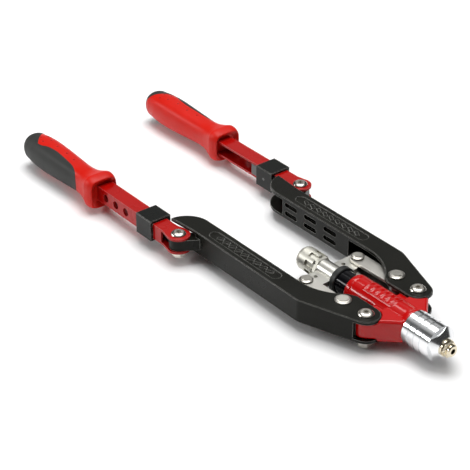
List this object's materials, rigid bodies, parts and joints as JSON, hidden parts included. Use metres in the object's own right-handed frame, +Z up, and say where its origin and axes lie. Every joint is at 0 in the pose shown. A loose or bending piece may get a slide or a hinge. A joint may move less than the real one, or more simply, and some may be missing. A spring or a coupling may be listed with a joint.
{
  "type": "hand riveter",
  "caption": "Long-arm hand riveter with folding handles: swinging box-section arms pull a central tube through links and a crosshead, with a threaded nose at the front.",
  "frame": {"origin": "centre of the nosepiece mouth, on the pull axis", "axes": "+Y from the nose along the pull axis to the handles, +Z up with the arm plates horizontal, +X towards the left arm of a user who holds the handles and points the nose away"},
  "size_m": [0.18, 0.5127, 0.0368],
  "materials": {
    "red_casting": "glossy red enamel on a casting",
    "bronze": "turned bearing bronze",
    "polished_aluminium": "turned and polished",
    "nosepiece_steel": "hardened steel",
    "zinc_fasteners": "zinc plated",
    "pin_steel": "turned pin steel",
    "spacer_steel": "turned",
    "tube_chrome": "chrome plated",
    "jaw_steel": "blackened tool steel",
    "spring_steel": "drawn spring wire",
    "gloss_black": "gloss black oxide",
    "satin_black": "satin black oxide",
    "crosshead_steel": "satin plated",
    "nickel": "nickel plated",
    "link_steel": "satin plated",
    "arm_black": "fine textured black powder coat",
    "handle_red": "red enamel on pressed steel",
    "grip_red": "hard red plastic",
    "grip_grey": "soft dark grey",
    "sleeve_black": "satin black plastic",
    "block_steel": "phosphated"
  },
  "bodies": {
    "body": {"body_casting": "red_casting", "pivot_bushes": "bronze", "guide_bush": "bronze", "nose_housing": "polished_aluminium", "nosepiece": "nosepiece_steel", "pivot_bolts": "zinc_fasteners", "pivot_nuts": "zinc_fasteners"},
    "puller": {"pull_tube": "tube_chrome", "jaw_case": "jaw_steel", "neck_sleeve": "gloss_black", "stop_ring": "satin_black", "crosshead": "crosshead_steel", "lock_ring": "nickel", "jaw_spring": "spring_steel"},
    "jaws": {"gripping_jaws": "jaw_steel", "jaw_pusher": "jaw_steel"},
    "catcher": {"tail_cap": "nickel"},
    "right_arm": {"right_arm_shell": "arm_black", "right_link_pin": "pin_steel", "right_link_spacers": "spacer_steel"},
    "right_link": {"right_link_upper": "link_steel", "right_link_lower": "link_steel", "right_crosshead_pin": "pin_steel"},
    "right_handle": {"right_handle_channel": "handle_red", "right_fold_bolt": "zinc_fasteners", "right_fold_nut": "zinc_fasteners", "right_grip_core": "grip_red", "right_grip_panel": "grip_grey"},
    "right_lock": {"right_lock_sleeve": "sleeve_black", "right_lock_block": "block_steel", "right_lock_pin": "block_steel"},
    "left_arm": {"left_arm_shell": "arm_black", "left_link_pin": "pin_steel", "left_link_spacers": "spacer_steel"},
    "left_link": {"left_link_upper": "link_steel", "left_link_lower": "link_steel", "left_crosshead_pin": "pin_steel"},
    "left_handle": {"left_handle_channel": "handle_red", "left_fold_bolt": "zinc_fasteners", "left_fold_nut": "zinc_fasteners", "left_grip_core": "grip_red", "left_grip_panel": "grip_grey"},
    "left_lock": {"left_lock_sleeve": "sleeve_black", "left_lock_block": "block_steel", "left_lock_pin": "block_steel"}
  },
  "joints": [
    {"name": "right_arm_swing", "type": "hinge", "parent": "body", "child": "right_arm", "pos_m": [-0.0293, 0.0715, 0], "axis": [0, 0, 1], "range_deg": [0, 42]},
    {"name": "right_link_turn", "type": "hinge", "parent": "right_arm", "child": "right_link", "pos_m": [-0.0303, 0.0987, 0], "axis": [0, 0, -1], "range_deg": [0, 64.15]},
    {"name": "right_handle_fold", "type": "hinge", "parent": "right_arm", "child": "right_handle", "pos_m": [-0.0708, 0.2725, 0], "axis": [0, 0, 1], "range_deg": [0, 160]},
    {"name": "right_lock_slide", "type": "slide", "parent": "right_handle", "child": "right_lock", "axis": [0, 1, 0], "range_m": [-0.0035, 0.045]},
    {"name": "left_arm_swing", "type": "hinge", "parent": "body", "child": "left_arm", "pos_m": [0.0293, 0.0715, 0], "axis": [0, 0, -1], "range_deg": [0, 42]},
    {"name": "left_link_turn", "type": "hinge", "parent": "left_arm", "child": "left_link", "pos_m": [0.0303, 0.0987, 0], "axis": [0, 0, 1], "range_deg": [0, 64.15]},
    {"name": "left_handle_fold", "type": "hinge", "parent": "left_arm", "child": "left_handle", "pos_m": [0.0708, 0.2725, 0], "axis": [0, 0, -1], "range_deg": [0, 160]},
    {"name": "left_lock_slide", "type": "slide", "parent": "left_handle", "child": "left_lock", "axis": [0, 1, 0], "range_m": [-0.0035, 0.045]},
    {"name": "puller_slide", "type": "slide", "parent": "body", "child": "puller", "axis": [0, -1, 0], "range_m": [0, 0.01157]},
    {"name": "jaw_slide", "type": "slide", "parent": "puller", "child": "jaws", "axis": [0, 1, 0], "range_m": [0, 0.003], "stiffness_N_per_m": 500, "springref_m": -0.002, "deforming": ["jaw_spring"]},
    {"name": "catcher_turn", "type": "hinge", "parent": "puller", "child": "catcher", "pos_m": [0, 0.18, 0], "axis": [0, 1, 0], "continuous": true}
  ],
  "couplings": [
    {"joint": "left_arm_swing", "follows": "right_arm_swing", "ratio": 1},
    {"joint": "right_link_turn", "follows": "right_arm_swing", "ratio": 1.5272},
    {"joint": "left_link_turn", "follows": "right_arm_swing", "ratio": 1.5272},
    {"joint": "puller_slide", "follows": "right_arm_swing", "m_per_rad": 0.015767}
  ]
}
